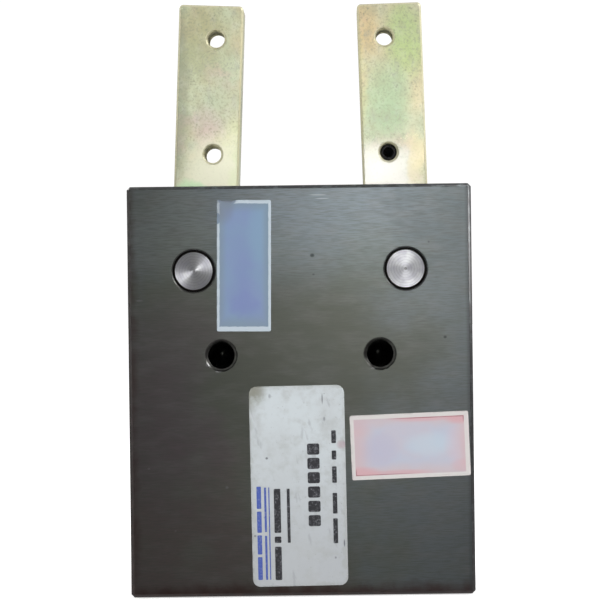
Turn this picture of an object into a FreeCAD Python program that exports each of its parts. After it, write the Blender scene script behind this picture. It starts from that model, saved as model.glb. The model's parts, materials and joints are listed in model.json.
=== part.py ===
"""Two-jaw angular pneumatic gripper, 40 mm bore, double acting.

Millimetres. X runs across the jaws, Y through the depth with the labelled front face at -Y, and
Z up towards the finger tips. The origin is the centre of the body's bottom face. "Left" is -X.

Air lifts or lowers the piston. The rod's fork carries one drive pin through a slot in each jaw
lever, so both jaws swing about their own pivot pins at once: rod up opens them, rod down closes.
"""

import FreeCAD, Part
import math
import os

V = FreeCAD.Vector
X, Y, Z = V(1, 0, 0), V(0, 1, 0), V(0, 0, 1)
ORIGIN = V(0, 0, 0)

# ---- driving dimensions ----
BORE_R = 20.0
BODY_WIDTH = 65.0
BODY_DEPTH = 50.0
BODY_HEIGHT = 77.5
BODY_EDGE = 0.6
SLOT_WIDTH = 12.2
SLOT_FLOOR = 48.0

PIVOT_X = 20.0
PIVOT_Z = BODY_HEIGHT - 16.0
PIN_R = 3.99
PIN_HOLE_R = 4.01
PIN_RECESS = 0.4
PIN_CHAMFER = 0.45

# jaw angles from parallel, in degrees, and the rod travel that turns a jaw by one radian
CLOSED_ANGLE = 5.0
OPEN_ANGLE = 15.0
REST_ANGLE = 1.9
TRAVEL_PER_RADIAN = 20.2
# how far each jaw stands off the linkage's own angle in the stored pose, within its slot's play
LEFT_PLAY, RIGHT_PLAY = 0.5, -0.5

JAW_THICK = 12.0
FINGER_WIDTH = 12.5
FINGER_CENTRE = 1.0
FINGER_LENGTH = 52.0
FINGER_HOLE_OFFSET = 2.1
FINGER_HOLE_FROM_TIP = 6.5
FINGER_HOLE_SPACING = 22.5
M4_TAP_R, M4_R = 1.65, 2.0
M4_SOCKET, M4_SOCKET_DEPTH = 2.0, 2.2
FINGER_SCREW_RECESS, FINGER_SCREW_LENGTH = 1.2, 8.0

FRONT_MOUNT_X, BACK_MOUNT_X = 15.0, 20.0
MOUNT_Z = BODY_HEIGHT - 32.0
MOUNT_DEPTH = 12.0
M6_TAP_R = 2.5
BASE_HOLE_X, BASE_HOLE_Y = 26.0, 19.0
BASE_HOLE_DEPTH = 11.0
M5_TAP_R = 2.1

PORT_TAP_R = 4.4
PORT_DEPTH = 8.5
PORT_PASSAGE_R = 1.25
PORT_FROM_CHAMBER_END = 1.85
PORT_FACE_R, PORT_FACE_DEPTH = 7.0, 0.3

SET_SCREW_Y = 15.5
SET_SCREW_RECESS = 2.2

# ---- bottom cover and its retaining ring, from the bottom face up ----
COVER_SEAT_R = 21.0
CLIP_GROOVE_R = 22.25
CLIP_GROOVE_Z = 1.15
CLIP_GROOVE_WIDTH = 1.85
CLIP_THICK = 1.75
COVER_THICK = 6.5
COVER_GAP = 0.03
COVER_Z = CLIP_GROOVE_Z + CLIP_GROOVE_WIDTH + COVER_GAP
CHAMBER_FLOOR = COVER_Z + COVER_THICK + COVER_GAP
COVER_ORING_SECTION = 0.9
COVER_ORING_GROOVE_DEPTH = 1.85
COVER_ORING_GROOVE_WIDTH = 2.3

# ---- piston and chamber ----
PISTON_R = 19.85
PISTON_NOSE_R = 17.5
PISTON_NOSE = 1.8
PISTON_HEIGHT = 14.25
SEAL_GROOVE_R = 17.25
SEAL_GROOVE_WIDTH = 2.7
GUIDE_GROOVE_R = 18.35
GUIDE_GROOVE_WIDTH = 2.05
PISTON_OUTER_LAND, PISTON_INNER_LAND = 0.9, 0.7
BUMPER_THICK = 1.5
BUMPER_R, BUMPER_HOLE_R = 16.0, 12.0
END_GAP = 0.05
STROKE = TRAVEL_PER_RADIAN * math.radians(CLOSED_ANGLE + OPEN_ANGLE)
CHAMBER_TOP = CHAMBER_FLOOR + 2 * (BUMPER_THICK + END_GAP) + PISTON_HEIGHT + STROKE
PISTON_Z = (CHAMBER_FLOOR + BUMPER_THICK + END_GAP
            + TRAVEL_PER_RADIAN * math.radians(CLOSED_ANGLE - REST_ANGLE))

# ---- rod, its guide and its seal in the wall between the chamber and the jaw slot ----
ROD_R = 6.0
ROD_SEAL_SEAT_R = 9.5
ROD_SEAL_SEAT_DEPTH = 7.0
ROD_CLIP_GROOVE_R = 10.1
ROD_CLIP_GROOVE_WIDTH = 1.1
ROD_CLIP_FROM_CHAMBER = 0.6
BUSH_R = 8.0
BUSH_LENGTH = 5.9
ROD_PASSAGE_R = 6.3
DRIVE_PIN_R = 2.99
DRIVE_Z = PIVOT_Z - TRAVEL_PER_RADIAN * math.radians(REST_ANGLE)
FORK_HALF_WIDTH = 6.5
FORK_GAP = 7.0
FORK_TOP = 5.0
FORK_GAP_FLOOR = 7.5
FORK_BASE = 3.0
SPIGOT_R = 4.5
SPIGOT_LENGTH = 6.0
ROD_SEAT_DEPTH = 1.0
ROD_ORING_SECTION = 0.75
SCREW_POCKET_R = 5.2
SCREW_POCKET = 6.5
WASHER_THICK = 1.0
SCREW_HEAD_R, SCREW_HEAD = 4.25, 5.0
SCREW_R = 2.5
SCREW_LENGTH = 15.0

# ---- half-lapped lever ends between the fork's ears ----
LEVER_HALF_HEIGHT = 5.0
LEVER_STEP = 11.5
LEVER_END = 26.2
LAP_THICK = 3.4
LAP_GAP = 0.05
SLOT_HALF_HEIGHT = 3.45
SLOT_START, SLOT_END = 19.75, 20.95
JAW_BUSH_R = 5.0

# ---- films on the front face ----
STICKER_THICK = 0.12
# name: (centre x, centre z, width, height, corner radius, turn in degrees seen from the front)
STICKERS = {
    "type_label": (-0.7, 20.75, 18.0, 37.8, 1.5, 0.6),
    "blue_sticker": (-10.5, 62.4, 10.2, 24.8, 0.2, -0.7),
    "red_sticker": (20.45, 28.1, 22.4, 12.2, 0.2, 1.85),
}

FIT_GAP = 0.01
OVERCUT = 0.1


# ---- shape helpers ----
def turned(profile):
    """A solid of revolution about Z from a closed (radius, height) outline."""
    points = [V(r, 0, z) for r, z in profile]
    face = Part.Face(Part.makePolygon(points + points[:1]))
    return face.revolve(ORIGIN, Z, 360)


def tube(outer, inner, low, high):
    """A plain ring about Z."""
    return turned([(inner, low), (outer, low), (outer, high), (inner, high)])


def disc(radius, low, high):
    return Part.makeCylinder(radius, high - low, V(0, 0, low), Z)


def outline(corners, y):
    """A closed wire in the plane at y through (x, z, radius) corners, each rounded by an arc."""
    rounded = []
    for i, (x, z, radius) in enumerate(corners):
        corner = V(x, y, z)
        before = V(corners[i - 1][0], y, corners[i - 1][1]) - corner
        after = V(corners[(i + 1) % len(corners)][0], y, corners[(i + 1) % len(corners)][1]) - corner
        before.normalize()
        after.normalize()
        half = before.getAngle(after) / 2
        middle = (before + after).normalize()
        setback = radius / math.tan(half)
        crown = corner + middle * (radius / math.sin(half) - radius)
        rounded.append((corner + before * setback, crown, corner + after * setback, radius))
    edges = []
    for i, (start, crown, end, radius) in enumerate(rounded):
        if radius:
            edges.append(Part.Arc(start, crown, end).toShape())
        following = rounded[(i + 1) % len(rounded)][0]
        if end.distanceToPoint(following) > 1e-6:
            edges.append(Part.makeLine(end, following))
    return Part.Wire(edges)


def plate(corners, y_low, y_high):
    """A flat plate of that outline, from y_low to y_high."""
    return Part.Face(outline(corners, y_low)).extrude(Y * (y_high - y_low))


def chamfered_plate(corners, y_low, y_high, size):
    """A plate with the edges of both faces broken."""
    made = plate(corners, y_low, y_high)
    rims = [edge for edge in made.Edges if edge.BoundBox.YLength < 1e-6]
    return made.makeChamfer(size, rims)


def rod_along(radius, start, end):
    """A cylinder from one point to another."""
    return Part.makeCylinder(radius, start.distanceToPoint(end), start, (end - start).normalize())


def chamfered_pin(radius, start, end, size):
    """A cylinder with both end edges chamfered."""
    along = (end - start).normalize()
    length = start.distanceToPoint(end)
    body = Part.makeCylinder(radius, length - 2 * size, start + along * size, along)
    near = Part.makeCone(radius - size, radius, size, start, along)
    far = Part.makeCone(radius, radius - size, size, end - along * size, along)
    return body.fuse([near, far]).removeSplitter()


def mouth(radius, at, inward, chamfer):
    """Cutter that chamfers a hole's mouth."""
    return Part.makeCone(radius + chamfer + OVERCUT, radius, chamfer + OVERCUT,
                         at - inward * OVERCUT, inward)


def blind_hole(radius, depth, at, inward, chamfer):
    """Cutter for a drilled hole: straight wall, 118 degree point and chamfered mouth."""
    wall = Part.makeCylinder(radius, depth + OVERCUT, at - inward * OVERCUT, inward)
    point = Part.makeCone(radius, 0, radius / math.tan(math.radians(59)), at + inward * depth, inward)
    return wall.fuse([point, mouth(radius, at, inward, chamfer)])


def through_hole(radius, start, end, chamfer):
    """Cutter for a hole through a wall, chamfered at both mouths."""
    along = (end - start).normalize()
    wall = rod_along(radius, start - along * OVERCUT, end + along * OVERCUT)
    return wall.fuse([mouth(radius, start, along, chamfer), mouth(radius, end, along * -1, chamfer)])


def hexagon_socket(across_flats, depth, at, inward):
    """Cutter for a hexagon socket with a drilled point at its floor."""
    corner = across_flats / math.sqrt(3)
    side = Y if abs(inward.x) > 0.5 else X
    up = inward.cross(side)
    points = []
    for i in range(7):
        angle = math.radians(60 * i)
        points.append(at + side * (corner * math.cos(angle)) + up * (corner * math.sin(angle)))
    prism = Part.Face(Part.makePolygon(points)).extrude(inward * depth)
    point = Part.makeCone(across_flats / 2, 0, across_flats / 4, at + inward * depth, inward)
    return prism.fuse(point)


def o_ring(radius, section, z):
    return Part.makeTorus(radius, section, V(0, 0, z), Z)


def internal_clip(outer, band, thick, low, lug_r, lug_hole_r):
    """An internal retaining ring: a band that thins towards its gap, with two eyed lugs."""
    gap_half_angle, lug_angle = 10.0, 15.0
    offset = band * 0.25
    ring = disc(outer, low, low + thick)
    ring = ring.cut(Part.makeCylinder(outer - band, thick, V(0, -offset, low), Z))
    reach = 2 * outer
    corners = [V(0, 0, low)]
    for side in (-1, 1):
        angle = math.radians(gap_half_angle) * side
        corners.append(V(reach * math.sin(angle), -reach * math.cos(angle), low))
    gap = Part.Face(Part.makePolygon(corners + corners[:1])).extrude(Z * thick)
    ring = ring.cut(gap)
    for side in (-1, 1):
        angle = math.radians(lug_angle) * side
        lug_at = outer - band * 0.75 - lug_r * 0.8
        centre = V(lug_at * math.sin(angle), -lug_at * math.cos(angle), low)
        ring = ring.fuse(Part.makeCylinder(lug_r, thick, centre, Z))
        ring = ring.cut(Part.makeCylinder(lug_hole_r, thick, centre, Z))
    return ring.removeSplitter()


# ---- body ----
def slotted_block():
    """The machined block with the jaw slot milled through its top, all outer edges broken."""
    block = Part.makeBox(BODY_WIDTH, BODY_DEPTH, BODY_HEIGHT, V(-BODY_WIDTH / 2, -BODY_DEPTH / 2, 0))
    slot_corner = V(-BODY_WIDTH / 2 - 1, -SLOT_WIDTH / 2, SLOT_FLOOR)
    slot = Part.makeBox(BODY_WIDTH + 2, SLOT_WIDTH, BODY_HEIGHT, slot_corner)
    block = block.cut(slot)
    outer = []
    for edge in block.Edges:
        centre = edge.CenterOfMass
        inner_corner = abs(abs(centre.y) - SLOT_WIDTH / 2) < 0.01 and abs(centre.z - SLOT_FLOOR) < 0.01
        if not inner_corner:
            outer.append(edge)
    return block.makeChamfer(BODY_EDGE, outer)


def cylinder_cutters():
    """Cover seat, clip groove, bore, rod seal seat, bush seat and rod passage, all on Z."""
    seal_top = CHAMBER_TOP + ROD_SEAL_SEAT_DEPTH
    clip_low = CHAMBER_TOP + ROD_CLIP_FROM_CHAMBER
    lead = 0.6
    return [
        disc(COVER_SEAT_R, -1, CHAMBER_FLOOR),
        Part.makeCone(COVER_SEAT_R + lead + OVERCUT, COVER_SEAT_R, lead + OVERCUT, V(0, 0, -OVERCUT), Z),
        disc(CLIP_GROOVE_R, CLIP_GROOVE_Z, CLIP_GROOVE_Z + CLIP_GROOVE_WIDTH),
        disc(BORE_R, CHAMBER_FLOOR - 1, CHAMBER_TOP),
        disc(ROD_SEAL_SEAT_R, CHAMBER_TOP - 1, seal_top),
        disc(ROD_CLIP_GROOVE_R, clip_low, clip_low + ROD_CLIP_GROOVE_WIDTH),
        disc(BUSH_R + FIT_GAP, seal_top - 1, seal_top + BUSH_LENGTH + FIT_GAP),
        disc(ROD_PASSAGE_R, seal_top, SLOT_FLOOR + 1),
    ]


def port_cutters():
    """Two threaded air ports in the right side, each with a passage to one end of the chamber."""
    cutters = []
    for z in (CHAMBER_FLOOR + PORT_FROM_CHAMBER_END, CHAMBER_TOP - PORT_FROM_CHAMBER_END):
        at = V(BODY_WIDTH / 2, 0, z)
        cutters.append(Part.makeCylinder(PORT_FACE_R, PORT_FACE_DEPTH + OVERCUT, at + X * OVERCUT, X * -1))
        cutters.append(blind_hole(PORT_TAP_R, PORT_DEPTH, at - X * PORT_FACE_DEPTH, X * -1, 0.5))
        cutters.append(rod_along(PORT_PASSAGE_R, at, V(BORE_R - 1, 0, z)))
    return cutters


def set_screw_place(side):
    """(mouth of the set screw's hole, direction towards the pivot pin)."""
    return V(side * BODY_WIDTH / 2, SET_SCREW_Y, PIVOT_Z), X * -side


def make_body():
    front, back = -BODY_DEPTH / 2, BODY_DEPTH / 2
    cutters = cylinder_cutters() + port_cutters()
    for side in (-1, 1):
        pivot = side * PIVOT_X
        cutters.append(through_hole(PIN_HOLE_R, V(pivot, front, PIVOT_Z), V(pivot, back, PIVOT_Z), 0.22))
        at, inward = set_screw_place(side)
        reach = BODY_WIDTH / 2 - PIVOT_X + OVERCUT
        cutters.append(Part.makeCylinder(M4_R, reach, at - inward * OVERCUT, inward))
        cutters.append(mouth(M4_R, at, inward, 0.3))
        for mount_x, face, inward in ((FRONT_MOUNT_X, front, Y), (BACK_MOUNT_X, back, Y * -1)):
            cutters.append(blind_hole(M6_TAP_R, MOUNT_DEPTH, V(side * mount_x, face, MOUNT_Z), inward, 0.6))
        for depth_side in (-1, 1):
            base = V(side * BASE_HOLE_X, depth_side * BASE_HOLE_Y, 0)
            cutters.append(blind_hole(M5_TAP_R, BASE_HOLE_DEPTH, base, Z, 0.5))
    return slotted_block().cut(cutters).removeSplitter()


# ---- bottom cover group ----
def cover_oring_z():
    return COVER_Z + COVER_THICK / 2


def make_bottom_cover():
    radius = COVER_SEAT_R - COVER_GAP
    top = COVER_Z + COVER_THICK
    edge, dish_r, dish = 0.5, 13.0, 0.8
    cover = turned([
        (0, COVER_Z + dish), (dish_r - dish, COVER_Z + dish), (dish_r, COVER_Z),
        (radius - edge, COVER_Z), (radius, COVER_Z + edge), (radius, top - edge),
        (radius - edge, top), (0, top),
    ])
    half = COVER_ORING_GROOVE_WIDTH / 2
    middle = cover_oring_z()
    groove = tube(radius + 1, radius - COVER_ORING_GROOVE_DEPTH, middle - half, middle + half)
    centre_mark = Part.makeCone(1.2, 0, 1.2, V(0, 0, COVER_Z + dish), Z)
    return cover.cut([groove, centre_mark]).removeSplitter()


def make_bottom_cover_oring():
    centre = COVER_SEAT_R - COVER_GAP - COVER_ORING_SECTION - 0.01
    return o_ring(centre, COVER_ORING_SECTION, cover_oring_z())


def make_bottom_circlip():
    low = CLIP_GROOVE_Z + (CLIP_GROOVE_WIDTH - CLIP_THICK) / 2
    return internal_clip(CLIP_GROOVE_R - 0.05, 4.0, CLIP_THICK, low, 2.3, 1.25)


def make_lower_bumper():
    return tube(BUMPER_R, BUMPER_HOLE_R, CHAMBER_FLOOR, CHAMBER_FLOOR + BUMPER_THICK)


def make_upper_bumper():
    return tube(BUMPER_R, BUMPER_HOLE_R, CHAMBER_TOP - BUMPER_THICK, CHAMBER_TOP)


# ---- rod guide and rod seal group ----
def make_rod_bush():
    low = CHAMBER_TOP + ROD_SEAL_SEAT_DEPTH
    lead = 0.4
    inner = ROD_R + 0.03
    return turned([
        (inner + lead, low), (BUSH_R - lead, low), (BUSH_R, low + lead),
        (BUSH_R, low + BUSH_LENGTH), (inner, low + BUSH_LENGTH), (inner, low + lead),
    ])


def make_rod_seal():
    """Lip seal with its open side towards the chamber."""
    top = CHAMBER_TOP + ROD_SEAL_SEAT_DEPTH - 0.05
    height = 3.8
    low = top - height
    inner, outer = ROD_R + 0.03, ROD_SEAL_SEAT_R - 0.05
    return turned([
        (inner + 0.3, top), (outer, top), (outer, low), (outer - 1.0, low), (outer - 1.7, low + 2.0),
        (inner + 0.9, low), (inner, low + 0.4), (inner, low + 1.8),
    ])


def make_rod_seal_washer():
    low = CHAMBER_TOP + ROD_CLIP_FROM_CHAMBER + ROD_CLIP_GROOVE_WIDTH
    return tube(ROD_SEAL_SEAT_R - 0.05, ROD_PASSAGE_R, low, low + 1.2)


def make_rod_seal_circlip():
    low = CHAMBER_TOP + ROD_CLIP_FROM_CHAMBER + 0.05
    return internal_clip(ROD_CLIP_GROOVE_R - 0.05, 2.0, 1.0, low, 1.15, 0.55)


# ---- pivot pins and what locks them ----
def make_pivot_pin(side):
    """A ground pin through the front wall, the jaw and the back wall, with turned end faces."""
    reach = BODY_DEPTH / 2 - PIN_RECESS
    start, end = V(side * PIVOT_X, -reach, PIVOT_Z), V(side * PIVOT_X, reach, PIVOT_Z)
    pin = chamfered_pin(PIN_R, start, end, PIN_CHAMFER)
    centre_mark = 0.45
    for at, inward in ((start, Y), (end, Y * -1)):
        pin = pin.cut(Part.makeCone(centre_mark, 0, centre_mark, at, inward))
    return pin


def make_pin_set_screws():
    """Two hexagon socket set screws, one in each side of the body, bearing on the pivot pins."""
    radius = M4_R - 0.03
    screws = []
    for side in (-1, 1):
        at, inward = set_screw_place(side)
        head = at + inward * SET_SCREW_RECESS
        tip = V(side * (PIVOT_X + PIN_R + 0.05), at.y, at.z)
        screw = chamfered_pin(radius, head, tip, 0.35)
        screws.append(screw.cut(hexagon_socket(M4_SOCKET, M4_SOCKET_DEPTH, head, inward)))
    return Part.makeCompound(screws)


# ---- labels on the front face ----
def make_sticker(name):
    x, z, width, height, radius, turn = STICKERS[name]
    front = -BODY_DEPTH / 2
    corners = []
    for i, j in ((-1, -1), (1, -1), (1, 1), (-1, 1)):
        corners.append((x + i * width / 2, z + j * height / 2, radius))
    made = plate(corners, front - STICKER_THICK, front)
    made.rotate(V(x, 0, z), Y, -turn)
    return made


# ---- jaws ----
def set_jaw(shape, side):
    """Carry a left jaw piece, modelled with its pivot at the origin, to its place at rest."""
    shape = shape.copy()
    shape.rotate(ORIGIN, Y, REST_ANGLE + (RIGHT_PLAY if side > 0 else LEFT_PLAY))
    shape.translate(V(-PIVOT_X, 0, PIVOT_Z))
    return shape.mirror(ORIGIN, X) if side > 0 else shape


def finger_hole_heights():
    """Heights of the upper and lower finger holes above the pivot, along the finger."""
    upper = FINGER_LENGTH - FINGER_HOLE_FROM_TIP
    return upper, upper - FINGER_HOLE_SPACING


def make_jaw(side):
    """Finger, pivot boss and lever in one piece of plated steel; the levers are half-lapped."""
    outer = FINGER_CENTRE - FINGER_WIDTH / 2
    inner = FINGER_CENTRE + FINGER_WIDTH / 2
    boss, step, half = 8.5, LEVER_STEP, LEVER_HALF_HEIGHT
    profile = [
        (outer, FINGER_LENGTH, 0.8), (inner, FINGER_LENGTH, 0.8), (inner, half, 3.0),
        (step, half, 0), (step, -half, 0), (8.0, -half, 2.0), (4.5, -boss, 3.0),
        (-boss, -boss, 8.2), (-boss, 8.0, 4.0), (outer, 13.0, 4.0),
    ]
    jaw = chamfered_plate(profile, -JAW_THICK / 2, JAW_THICK / 2, 0.35)
    lap_low = LAP_GAP if side > 0 else -LAP_GAP - LAP_THICK
    root = step - 1.5
    lap = plate([
        (root, half, 0), (LEVER_END, half, half - 0.1), (LEVER_END, -half, half - 0.1), (root, -half, 0),
    ], lap_low, lap_low + LAP_THICK)
    jaw = jaw.fuse(lap)
    slot_r = SLOT_HALF_HEIGHT
    start, end, round_r = SLOT_START - slot_r, SLOT_END + slot_r, slot_r - 0.01
    slot = plate([
        (start, slot_r, round_r), (end, slot_r, round_r),
        (end, -slot_r, round_r), (start, -slot_r, round_r),
    ], -JAW_THICK, JAW_THICK)
    front, back = -JAW_THICK / 2, JAW_THICK / 2
    cutters = [slot, through_hole(JAW_BUSH_R + FIT_GAP, V(0, front, 0), V(0, back, 0), 0.3)]
    for z in finger_hole_heights():
        u = FINGER_HOLE_OFFSET
        cutters.append(through_hole(M4_TAP_R, V(u, front, z), V(u, back, z), 0.4))
    return set_jaw(jaw.cut(cutters).removeSplitter(), side)


def make_right_finger_screw():
    """A set screw standing in the lower hole of the right finger, its socket to the front."""
    front = -JAW_THICK / 2 + FINGER_SCREW_RECESS
    head = V(FINGER_HOLE_OFFSET, front, finger_hole_heights()[1])
    screw = chamfered_pin(M4_TAP_R - 0.03, head, head + Y * FINGER_SCREW_LENGTH, 0.3)
    return set_jaw(screw.cut(hexagon_socket(M4_SOCKET, M4_SOCKET_DEPTH, head, Y)), 1)


def make_jaw_bush(side):
    reach = JAW_THICK / 2
    bush = rod_along(JAW_BUSH_R, V(0, -reach, 0), V(0, reach, 0))
    hole = through_hole(PIN_R + 0.03, V(0, -reach, 0), V(0, reach, 0), 0.3)
    return set_jaw(bush.cut(hole), side)


# ---- piston group, at its height at rest ----
def piston_grooves():
    """(lower seal, guide ring, upper seal) groove floors above the piston's lower face."""
    lower = PISTON_NOSE + PISTON_OUTER_LAND
    guide = lower + SEAL_GROOVE_WIDTH + PISTON_INNER_LAND
    upper = guide + GUIDE_GROOVE_WIDTH + PISTON_INNER_LAND
    return lower, guide, upper


def make_piston():
    low, high = PISTON_Z, PISTON_Z + PISTON_HEIGHT
    shoulder = 0.3
    piston = turned([
        (0, low), (PISTON_NOSE_R, low), (PISTON_NOSE_R, low + PISTON_NOSE),
        (PISTON_R - shoulder, low + PISTON_NOSE), (PISTON_R, low + PISTON_NOSE + shoulder),
        (PISTON_R, high - PISTON_NOSE - shoulder), (PISTON_R - shoulder, high - PISTON_NOSE),
        (PISTON_NOSE_R, high - PISTON_NOSE), (PISTON_NOSE_R, high), (0, high),
    ])
    lower, guide, upper = piston_grooves()
    cutters = [
        tube(PISTON_R + 1, SEAL_GROOVE_R, low + lower, low + lower + SEAL_GROOVE_WIDTH),
        tube(PISTON_R + 1, GUIDE_GROOVE_R, low + guide, low + guide + GUIDE_GROOVE_WIDTH),
        tube(PISTON_R + 1, SEAL_GROOVE_R, low + upper, low + upper + SEAL_GROOVE_WIDTH),
        disc(SCREW_POCKET_R, low - 1, low + SCREW_POCKET),
        disc(SPIGOT_R + FIT_GAP, low, high),
        disc(ROD_R + 0.05, high - ROD_SEAT_DEPTH, high + 1),
    ]
    return piston.cut(cutters).removeSplitter()


def make_piston_seal(upper):
    """Lip seal whose open side faces the chamber that it seals."""
    lower_z, _, upper_z = piston_grooves()
    inner, outer, height = SEAL_GROOVE_R + 0.03, BORE_R - 0.03, SEAL_GROOVE_WIDTH - 0.1
    profile = [
        (inner, 0), (outer - 0.25, 0), (outer, height * 0.5), (outer, height * 0.85),
        (outer - 0.75, height), (outer - 1.3, height * 0.45), (inner + 0.9, height), (inner, height),
    ]
    if upper:
        base = PISTON_Z + upper_z + 0.05
        return turned([(r, base + z) for r, z in profile])
    base = PISTON_Z + lower_z + SEAL_GROOVE_WIDTH - 0.05
    return turned([(r, base - z) for r, z in reversed(profile)])


def make_piston_guide_ring():
    """Split wear ring between the two seals."""
    low = PISTON_Z + piston_grooves()[1] + 0.05
    high = low + GUIDE_GROOVE_WIDTH - 0.1
    ring = tube(BORE_R - 0.04, GUIDE_GROOVE_R + 0.03, low, high)
    split = Part.makeBox(BORE_R, 0.8, GUIDE_GROOVE_WIDTH + 1, V(0, -0.4, low - 0.5))
    return ring.cut(split)


def rod_oring_z():
    return PISTON_Z + PISTON_HEIGHT - ROD_SEAT_DEPTH - 2.2


def make_piston_rod():
    """Ground rod with a forked head that straddles both levers and a spigot for the piston."""
    foot = PISTON_Z + PISTON_HEIGHT - ROD_SEAT_DEPTH
    base_low = DRIVE_Z - FORK_GAP_FLOOR - FORK_BASE
    head_half = JAW_THICK / 2
    shaft = disc(ROD_R, foot, base_low + 1)
    spigot = disc(SPIGOT_R, foot - SPIGOT_LENGTH, foot + 1)
    head = chamfered_plate([
        (-FORK_HALF_WIDTH, base_low, 0.8), (FORK_HALF_WIDTH, base_low, 0.8),
        (FORK_HALF_WIDTH, DRIVE_Z + FORK_TOP, 2.5), (-FORK_HALF_WIDTH, DRIVE_Z + FORK_TOP, 2.5),
    ], -head_half, head_half, 0.3)
    gap = Part.makeBox(2 * BORE_R, FORK_GAP, BORE_R, V(-BORE_R, -FORK_GAP / 2, DRIVE_Z - FORK_GAP_FLOOR))
    pin_hole = through_hole(DRIVE_PIN_R + FIT_GAP, V(0, -head_half, DRIVE_Z), V(0, head_half, DRIVE_Z), 0.2)
    thread_top = PISTON_Z + SCREW_POCKET - WASHER_THICK + SCREW_LENGTH + 2
    thread = disc(SCREW_R + 0.02, foot - SPIGOT_LENGTH - 1, thread_top)
    half_groove = ROD_ORING_SECTION + 0.1
    groove_floor_r = SPIGOT_R - 2 * ROD_ORING_SECTION
    groove = tube(SPIGOT_R + 1, groove_floor_r, rod_oring_z() - half_groove, rod_oring_z() + half_groove)
    rod = shaft.fuse([spigot, head]).cut([gap, pin_hole, thread, groove])
    return rod.removeSplitter()


def make_drive_pin():
    reach = JAW_THICK / 2 - 0.05
    return chamfered_pin(DRIVE_PIN_R, V(0, -reach, DRIVE_Z), V(0, reach, DRIVE_Z), 0.3)


def make_piston_washer():
    top = PISTON_Z + SCREW_POCKET
    return tube(SCREW_POCKET_R - 0.2, SCREW_R + 0.15, top - WASHER_THICK, top)


def make_piston_screw():
    """Socket head screw that clamps the piston to the rod's spigot."""
    seat = PISTON_Z + SCREW_POCKET - WASHER_THICK
    head = turned([(0, seat - SCREW_HEAD), (SCREW_HEAD_R - 0.4, seat - SCREW_HEAD),
                   (SCREW_HEAD_R, seat - SCREW_HEAD + 0.4), (SCREW_HEAD_R, seat), (0, seat)])
    shank = chamfered_pin(SCREW_R, V(0, 0, seat - 1), V(0, 0, seat + SCREW_LENGTH), 0.4)
    socket = hexagon_socket(4.0, 2.5, V(0, 0, seat - SCREW_HEAD), Z)
    return head.fuse(shank).cut(socket).removeSplitter()


def make_piston_rod_oring():
    return o_ring(SPIGOT_R - ROD_ORING_SECTION - 0.01, ROD_ORING_SECTION - 0.04, rod_oring_z())


def all_parts():
    parts = {
        "body": make_body(),
        "bottom_cover": make_bottom_cover(),
        "bottom_cover_oring": make_bottom_cover_oring(),
        "bottom_circlip": make_bottom_circlip(),
        "lower_bumper": make_lower_bumper(),
        "upper_bumper": make_upper_bumper(),
        "rod_bush": make_rod_bush(),
        "rod_seal": make_rod_seal(),
        "rod_seal_washer": make_rod_seal_washer(),
        "rod_seal_circlip": make_rod_seal_circlip(),
        "pin_set_screws": make_pin_set_screws(),
        "right_finger_screw": make_right_finger_screw(),
        "piston": make_piston(),
        "piston_seal_lower": make_piston_seal(upper=False),
        "piston_seal_upper": make_piston_seal(upper=True),
        "piston_guide_ring": make_piston_guide_ring(),
        "piston_rod": make_piston_rod(),
        "piston_rod_oring": make_piston_rod_oring(),
        "piston_washer": make_piston_washer(),
        "piston_screw": make_piston_screw(),
        "drive_pin": make_drive_pin(),
    }
    for side, word in ((-1, "left"), (1, "right")):
        parts[f"pivot_pin_{word}"] = make_pivot_pin(side)
        parts[f"{word}_jaw"] = make_jaw(side)
        parts[f"{word}_jaw_bush"] = make_jaw_bush(side)
    for name in STICKERS:
        parts[name] = make_sticker(name)
    return parts


os.makedirs("parts", exist_ok=True)
for old in os.listdir("parts"):
    os.remove(os.path.join("parts", old))
for name, shape in sorted(all_parts().items()):
    shape.exportStep(f"parts/{name}.step")
    print(f"{name:22s} solids {len(shape.Solids)}  valid {shape.isValid()}  volume {shape.Volume:10.2f}")
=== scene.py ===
"""Looks of the two-jaw pneumatic gripper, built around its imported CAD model.

Meshes are worked out in millimetres and stored in metres, in the CAD model's own frame:
X across the jaws, -Y out of the labelled front face, Z up towards the finger tips.
"""

import bmesh
import bpy
import json
import math
from mathutils import Matrix, Vector, noise


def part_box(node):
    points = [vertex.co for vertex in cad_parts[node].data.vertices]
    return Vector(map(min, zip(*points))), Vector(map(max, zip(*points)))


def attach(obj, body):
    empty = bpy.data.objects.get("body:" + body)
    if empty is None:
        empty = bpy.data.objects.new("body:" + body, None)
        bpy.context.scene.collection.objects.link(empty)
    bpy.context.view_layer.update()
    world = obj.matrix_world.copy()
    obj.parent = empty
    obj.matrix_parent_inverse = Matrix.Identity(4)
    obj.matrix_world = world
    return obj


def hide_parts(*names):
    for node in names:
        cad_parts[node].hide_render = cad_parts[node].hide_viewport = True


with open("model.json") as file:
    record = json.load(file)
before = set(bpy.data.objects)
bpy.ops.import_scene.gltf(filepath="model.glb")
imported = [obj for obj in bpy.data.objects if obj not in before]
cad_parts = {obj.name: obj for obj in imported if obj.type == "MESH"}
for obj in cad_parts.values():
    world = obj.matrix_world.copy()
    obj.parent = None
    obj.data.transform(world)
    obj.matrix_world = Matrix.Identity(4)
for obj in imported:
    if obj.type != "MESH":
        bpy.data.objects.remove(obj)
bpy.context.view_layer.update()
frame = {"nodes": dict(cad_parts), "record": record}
nodes = frame["nodes"]
MM = 0.001
X, Y, Z = Vector((1, 0, 0)), Vector((0, 1, 0)), Vector((0, 0, 1))

# ---- view: a long lens level with the upper part of the front face ----
VIEW_DISTANCE = 575.0
VIEW_FIELD = 113.2
VIEW_X, VIEW_Z = 8.0, 55.7
VIEW_ROLL = 0.7
SENSOR = 36.0

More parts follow.
